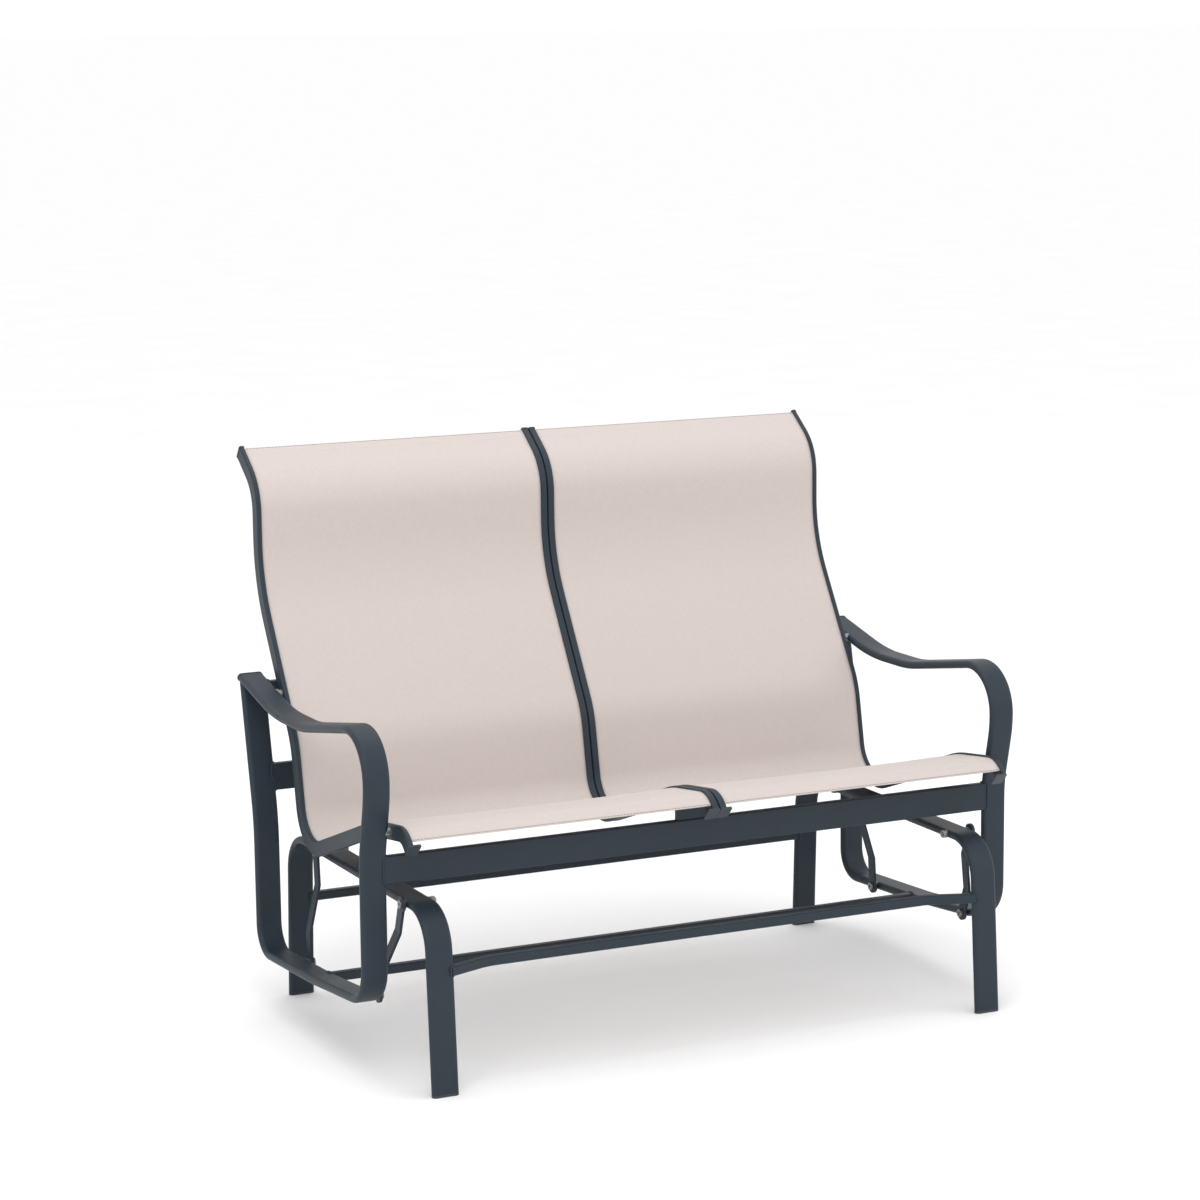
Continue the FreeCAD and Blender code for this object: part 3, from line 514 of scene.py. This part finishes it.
# ---------------------------------------------------------------- weld beads
def weld_bead(name, body, bar, size, edge_r, post, lean, face_x, side, round_r, cope=7.0, bead=2.2):
    """Fillet weld round the end of a cross member where it meets a rounded bar.

    The centre line is the member's outline, a rectangle with quarter-circle corners; its X follows the
    half-round side of the other bar, r - sqrt(r squared - distance squared), up to the coped depth.
    Its radius swells and shrinks with a sine along it, as run welds do. Lengths in millimetres."""
    depth, height = size
    count = 150
    t = np.linspace(0, 1, count, endpoint=False)
    flat_y, flat_z = depth - 2 * edge_r, height - 2 * edge_r
    arc = math.pi * edge_r / 2
    marks = np.cumsum([0, flat_z, arc, flat_y, arc, flat_z, arc, flat_y, arc])
    s = t * marks[-1]
    corner = [(1, 1), (-1, 1), (-1, -1), (1, -1)]
    y, z = np.empty(count), np.empty(count)
    for k, (cy, cz) in enumerate(corner):
        low, mid, high = marks[2 * k], marks[2 * k + 1], marks[2 * k + 2]
        ey, ez = cy * flat_y / 2, cz * flat_z / 2
        start = math.pi / 2 * k
        run = (s >= low) & (s < mid)
        py, pz = corner[k - 1]
        f = (s[run] - low) / (mid - low)
        y[run] = py * flat_y / 2 + (ey - py * flat_y / 2) * f + edge_r * math.cos(start)
        z[run] = pz * flat_z / 2 + (ez - pz * flat_z / 2) * f + edge_r * math.sin(start)
        run = (s >= mid) & (s < high)
        a = start + (s[run] - mid) / edge_r
        y[run] = ey + edge_r * np.cos(a)
        z[run] = ez + edge_r * np.sin(a)
    gap = np.abs((y + bar[0] - post[0]) * lean[1] - (z + bar[1] - post[1]) * lean[0])
    x = np.minimum(round_r - np.sqrt(np.clip(round_r ** 2 - gap ** 2, 0, None)), cope)
    x = side * (face_x / MM + x)
    line = np.stack([x, y + bar[0] + DRAWN_Y / MM, z + bar[1]], axis=1)
    ahead = np.roll(line, -1, axis=0) - np.roll(line, 1, axis=0)
    ahead /= np.linalg.norm(ahead, axis=1)[:, None]
    outward = np.stack([np.zeros(count), y, z], axis=1)
    outward -= (outward * ahead).sum(axis=1)[:, None] * ahead
    outward /= np.linalg.norm(outward, axis=1)[:, None]
    third = np.cross(ahead, outward)
    ripple = bead * (1 + 0.10 * np.sin(2 * math.pi * s / 3.1) + 0.06 * np.sin(2 * math.pi * s / 23.0))
    a = np.linspace(0, 2 * math.pi, 10, endpoint=False)
    ring = outward[:, None] * np.cos(a)[None, :, None] + third[:, None] * np.sin(a)[None, :, None]
    points = (line[:, None] + ring * ripple[:, None, None]) * MM
    faces = grid_faces(count, 10, True, True)
    piece = mesh_piece(name, points.reshape(-1, 3), faces)
    piece.data.materials.append(PAINT)
    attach(piece, body)
    return piece


def unit(a, b):
    """Direction from a to b."""
    way = np.array(b, dtype=float) - np.array(a, dtype=float)
    return way / np.linalg.norm(way)


def welds():
    """Beads at both ends of every cross member."""
    post_way = unit((49, 145), (49, 398))
    rear_way = unit((574, 352), (628, 603))
    arm_way = unit((638, 609), (470, 571))
    floor_way = unit((300, 122), (572, 108))
    joints = [
        ("front_rail", "seat", (48.5, 374.75), (15.0, 50.5), 3.0, (48.6, 374.75), post_way, LOOP_INNER, 7.5),
        ("rear_rail", "seat", (591.0, 429.25), (15.0, 50.5), 3.0, (590.6, 429.25), rear_way, LOOP_INNER, 7.5),
        ("upper_bar", "seat", (603.0, 598.0), (17.0, 17.0), 4.0, (603.0, 601.1), arm_way, LOOP_INNER, 7.5),
        ("lower_bar", "seat", (310.0, 121.0), (17.0, 17.0), 4.0, (310.0, 121.5), floor_way, LOOP_INNER, 7.5),
        ("front_stretcher", "base", (-47.9, 213.0), (17.0, 17.0), 4.0, (-47.9, 213.0),
         unit((-63, 0), (-41, 313)), BASE_INNER, 7.0),
        ("rear_stretcher", "base", (617.6, 187.0), (17.0, 17.0), 4.0, (617.6, 187.0),
         unit((626, 0), (612, 313)), BASE_INNER, 7.0),
    ]
    for label, body, bar, size, edge, post, lean, face, r in joints:
        for name, side in (("left", -1), ("right", 1)):
            weld_bead("%s_%s_weld" % (name, label), body, bar, size, edge, post, lean, face, side, r)


welds()


# ---------------------------------------------------------------- studio
def area_light(name, spot, aim, size, power, colour=(1, 1, 1)):
    data = bpy.data.lights.new(name, "AREA")
    data.shape = "RECTANGLE"
    data.size, data.size_y = size
    data.energy = power
    data.color = colour
    lamp = bpy.data.objects.new(name, data)
    bpy.context.scene.collection.objects.link(lamp)
    back = np.array(spot, dtype=float) - np.array(aim, dtype=float)
    back /= np.linalg.norm(back)
    right = np.cross([0, 0, 1.0], back)
    right /= np.linalg.norm(right)
    pose = np.eye(4)
    pose[:3, 0], pose[:3, 1], pose[:3, 2], pose[:3, 3] = right, np.cross(back, right), back, spot
    lamp.matrix_world = Matrix(pose.tolist())


def studio():
    reach = 400.0
    corners = [[-reach, -reach, 0], [reach, -reach, 0], [reach, reach, 0], [-reach, reach, 0]]
    floor = mesh_piece("floor", np.array(corners),
                       np.array([[0, 1, 2, 3]]))
    m = Shader("pale_floor")
    where = m.node("ShaderNodeTexCoord").outputs["Object"]
    m.join(m.ramp(m.noise(where, 3.0), 0.3, 0.7, (0.93, 0.93, 0.93), (0.95, 0.95, 0.95)),
           m.bsdf.inputs["Base Color"])
    m.set(Roughness=0.9, Specular_IOR_Level=0.1)
    floor.data.materials.append(m.material)
    world = bpy.data.worlds.new("soft_daylight")
    world.use_nodes = True
    world.node_tree.nodes["Background"].inputs["Color"].default_value = (1.0, 1.0, 1.0, 1)
    world.node_tree.nodes["Background"].inputs["Strength"].default_value = 1.05
    bpy.context.scene.world = world
    area_light("key", (-2.2, -3.2, 3.6), (0, 0, 0.5), (3.0, 3.0), 60)
    area_light("fill", (3.4, -2.4, 2.2), (0, 0, 0.5), (3.0, 3.0), 20)
    area_light("top", (0.0, 0.4, 4.2), (0, 0, 0.4), (3.4, 3.4), 40)
    bpy.context.scene.view_settings.view_transform = "Standard"


studio()
